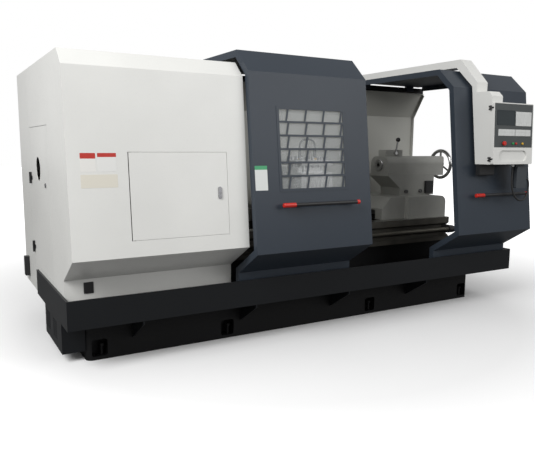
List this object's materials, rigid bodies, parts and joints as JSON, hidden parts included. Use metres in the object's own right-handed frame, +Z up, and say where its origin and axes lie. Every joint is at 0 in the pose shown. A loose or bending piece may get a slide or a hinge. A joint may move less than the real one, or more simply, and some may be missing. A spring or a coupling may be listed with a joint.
{
  "type": "cnc turning lathe",
  "caption": "Flat-bed CNC turning lathe with two sliding hood doors, a swung-out operator box, four-way tool post and tailstock.",
  "frame": {"origin": "on the floor under the middle of the base, in the vertical plane of the spindle axis", "axes": "+X along the bed from the headstock to the tailstock, +Y from the operator to the back, +Z up"},
  "size_m": [4.319, 2.2559, 2.295],
  "materials": {
    "white_paint": "semi-gloss powder coat",
    "door_paint": "semi-gloss powder coat",
    "dark_paint": "satin powder coat",
    "base_paint": "satin paint",
    "guard_paint": "satin powder coat",
    "casting_paint": "satin paint over casting",
    "motor_paint": "satin paint over casting",
    "bed_iron": "cast sides, ground ways",
    "pulley_iron": "turned",
    "machined_steel": "turned and ground",
    "hard_steel": "ground",
    "pipe_metal": "matt zinc",
    "handwheel_chrome": "polished",
    "feed_plastic": "matt black",
    "black_plastic": "matt",
    "panel_plastic": "matt",
    "pendant_plastic": "matt",
    "red_plastic": "gloss",
    "green_plastic": "gloss",
    "stop_plastic": "gloss",
    "amber_plastic": "gloss",
    "key_plastic": "matt",
    "belt_rubber": "matt",
    "cable_rubber": "matt",
    "guard_wire": "satin",
    "window_glass": "clear",
    "screen_glass": "gloss dark"
  },
  "bodies": {
    "machine": {"base_casting": "base_paint", "bed_ways": "bed_iron", "chip_tray": "dark_paint", "louvre_box": "dark_paint", "headstock_casting": "casting_paint", "main_motor": "motor_paint", "drive_belt": "belt_rubber", "headstock_cover": "white_paint", "electrical_cabinet": "white_paint", "electrics_panel": "white_paint", "cable_inlet_block": "black_plastic", "rear_guard": "guard_paint", "door_rails": "base_paint", "control_arm": "white_paint", "control_box": "white_paint", "cable_junction": "black_plastic", "hand_pendant": "pendant_plastic", "pendant_cable": "cable_rubber", "feed_drive": "feed_plastic"},
    "spindle_group": {"spindle": "machined_steel", "chuck_body": "machined_steel", "spindle_pulley": "pulley_iron"},
    "jaw_1": {"chuck_jaw_1": "hard_steel"},
    "jaw_2": {"chuck_jaw_2": "hard_steel"},
    "jaw_3": {"chuck_jaw_3": "hard_steel"},
    "motor_pulley": {"motor_pulley": "pulley_iron"},
    "access_door": {"access_door": "white_paint"},
    "access_latch": {"access_latch": "hard_steel"},
    "side_door": {"side_door": "white_paint"},
    "side_door_lock": {"side_door_lock": "hard_steel"},
    "cabinet_door": {"cabinet_door": "white_paint"},
    "door_1": {"door_1": "door_paint", "door_1_window": "window_glass", "door_1_window_guard": "guard_wire", "door_1_handle": "black_plastic", "door_1_handle_caps": "red_plastic"},
    "door_2": {"door_2": "door_paint", "door_2_handle": "black_plastic", "door_2_handle_caps": "red_plastic"},
    "carriage": {"saddle": "casting_paint", "cross_servo": "feed_plastic"},
    "cross_slide": {"cross_slide": "casting_paint"},
    "tool_post": {"tool_post": "machined_steel", "tool_post_bolts": "hard_steel", "turning_tool": "machined_steel", "coolant_pipe": "pipe_metal"},
    "feed_screw": {"feed_screw": "machined_steel"},
    "tailstock": {"tailstock_base": "casting_paint", "tailstock_body": "casting_paint"},
    "tailstock_quill": {"tailstock_quill": "machined_steel"},
    "tailstock_handwheel": {"tailstock_handwheel": "handwheel_chrome"},
    "tailstock_lever": {"tailstock_lever": "handwheel_chrome"},
    "control_front": {"control_front": "white_paint", "operator_panel": "panel_plastic", "screen": "screen_glass", "keypad": "key_plastic"},
    "emergency_stop": {"emergency_stop": "red_plastic"},
    "push_button_1": {"push_button_1": "green_plastic"},
    "push_button_2": {"push_button_2": "stop_plastic"},
    "push_button_3": {"push_button_3": "amber_plastic"}
  },
  "joints": [
    {"name": "spindle_turn", "type": "hinge", "parent": "machine", "child": "spindle_group", "pos_m": [-0.9, 0, 1.335], "axis": [1, 0, 0], "continuous": true},
    {"name": "motor_turn", "type": "hinge", "parent": "machine", "child": "motor_pulley", "pos_m": [-1.92, -0.61, 0.56], "axis": [1, 0, 0], "continuous": true},
    {"name": "jaw_1_slide", "type": "slide", "parent": "spindle_group", "child": "jaw_1", "axis": [0, 0, 1], "range_m": [-0.03, 0.015]},
    {"name": "jaw_2_slide", "type": "slide", "parent": "spindle_group", "child": "jaw_2", "axis": [0, -0.866, -0.5], "range_m": [-0.03, 0.015]},
    {"name": "jaw_3_slide", "type": "slide", "parent": "spindle_group", "child": "jaw_3", "axis": [0, 0.866, -0.5], "range_m": [-0.03, 0.015]},
    {"name": "access_door_hinge", "type": "hinge", "parent": "machine", "child": "access_door", "pos_m": [-1.686, -1.04568, 1.18978], "axis": [0, -0.0906, -0.9959], "range_deg": [0, 100]},
    {"name": "access_latch_turn", "type": "hinge", "parent": "access_door", "child": "access_latch", "pos_m": [-1.064, -1.05315, 1.19598], "axis": [0, -0.9959, 0.0906], "range_deg": [0, 90]},
    {"name": "side_door_hinge", "type": "hinge", "parent": "machine", "child": "side_door", "pos_m": [-2.0903, 0.3355, 1.1], "axis": [0, 0, -1], "range_deg": [0, 100]},
    {"name": "side_lock_turn", "type": "hinge", "parent": "side_door", "child": "side_door_lock", "pos_m": [-2.08, -0.3, 1.227], "axis": [-1, 0, 0], "range_deg": [0, 90]},
    {"name": "cabinet_door_hinge", "type": "hinge", "parent": "machine", "child": "cabinet_door", "pos_m": [-2.0415, 0.9073, 1.213], "axis": [0, 0, 1], "range_deg": [0, 110]},
    {"name": "door_1_slide", "type": "slide", "parent": "machine", "child": "door_1", "axis": [1, 0, 0], "range_m": [-1.15, 0]},
    {"name": "door_2_slide", "type": "slide", "parent": "machine", "child": "door_2", "axis": [1, 0, 0], "range_m": [-0.96, 0]},
    {"name": "feed_screw_turn", "type": "hinge", "parent": "machine", "child": "feed_screw", "pos_m": [0.1, -0.43, 0.678], "axis": [1, 0, 0], "range_deg": [-13680, 7200]},
    {"name": "carriage_slide", "type": "slide", "parent": "machine", "child": "carriage", "axis": [1, 0, 0], "range_m": [-0.38, 0.2]},
    {"name": "cross_slide_feed", "type": "slide", "parent": "carriage", "child": "cross_slide", "axis": [0, 1, 0], "range_m": [-0.15, 0.06]},
    {"name": "tool_post_index", "type": "hinge", "parent": "cross_slide", "child": "tool_post", "pos_m": [0.14, -0.33, 1.2], "axis": [0, 0, 1], "continuous": true},
    {"name": "tailstock_slide", "type": "slide", "parent": "machine", "child": "tailstock", "axis": [1, 0, 0], "range_m": [-0.19, 0]},
    {"name": "handwheel_turn", "type": "hinge", "parent": "tailstock", "child": "tailstock_handwheel", "pos_m": [2.142, 0, 1.335], "axis": [1, 0, 0], "range_deg": [0, 7200]},
    {"name": "quill_slide", "type": "slide", "parent": "tailstock", "child": "tailstock_quill", "axis": [-1, 0, 0], "range_m": [0, 0.2]},
    {"name": "quill_lock_turn", "type": "hinge", "parent": "tailstock", "child": "tailstock_lever", "pos_m": [1.41, -0.076, 1.457], "axis": [0, 1, 0], "range_deg": [-30, 60]},
    {"name": "control_front_hinge", "type": "hinge", "parent": "machine", "child": "control_front", "pos_m": [1.3697, -1.28415, 1.637], "axis": [0, -0.0418, -0.9991], "range_deg": [0, 100]},
    {"name": "emergency_stop_press", "type": "slide", "parent": "control_front", "child": "emergency_stop", "axis": [0, 0.9991, -0.0418], "range_m": [0, 0.004], "stiffness_N_per_m": 2000},
    {"name": "push_button_1_press", "type": "slide", "parent": "control_front", "child": "push_button_1", "axis": [0, 0.9991, -0.0418], "range_m": [0, 0.004], "stiffness_N_per_m": 2000},
    {"name": "push_button_2_press", "type": "slide", "parent": "control_front", "child": "push_button_2", "axis": [0, 0.9991, -0.0418], "range_m": [0, 0.004], "stiffness_N_per_m": 2000},
    {"name": "push_button_3_press", "type": "slide", "parent": "control_front", "child": "push_button_3", "axis": [0, 0.9991, -0.0418], "range_m": [0, 0.004], "stiffness_N_per_m": 2000}
  ],
  "couplings": [
    {"joint": "motor_turn", "follows": "spindle_turn", "ratio": 2},
    {"joint": "jaw_2_slide", "follows": "jaw_1_slide", "ratio": 1},
    {"joint": "jaw_3_slide", "follows": "jaw_1_slide", "ratio": 1},
    {"joint": "feed_screw_turn", "follows": "carriage_slide", "rad_per_m": 628.32},
    {"joint": "quill_slide", "follows": "handwheel_turn", "m_per_rad": 0.0015915}
  ]
}
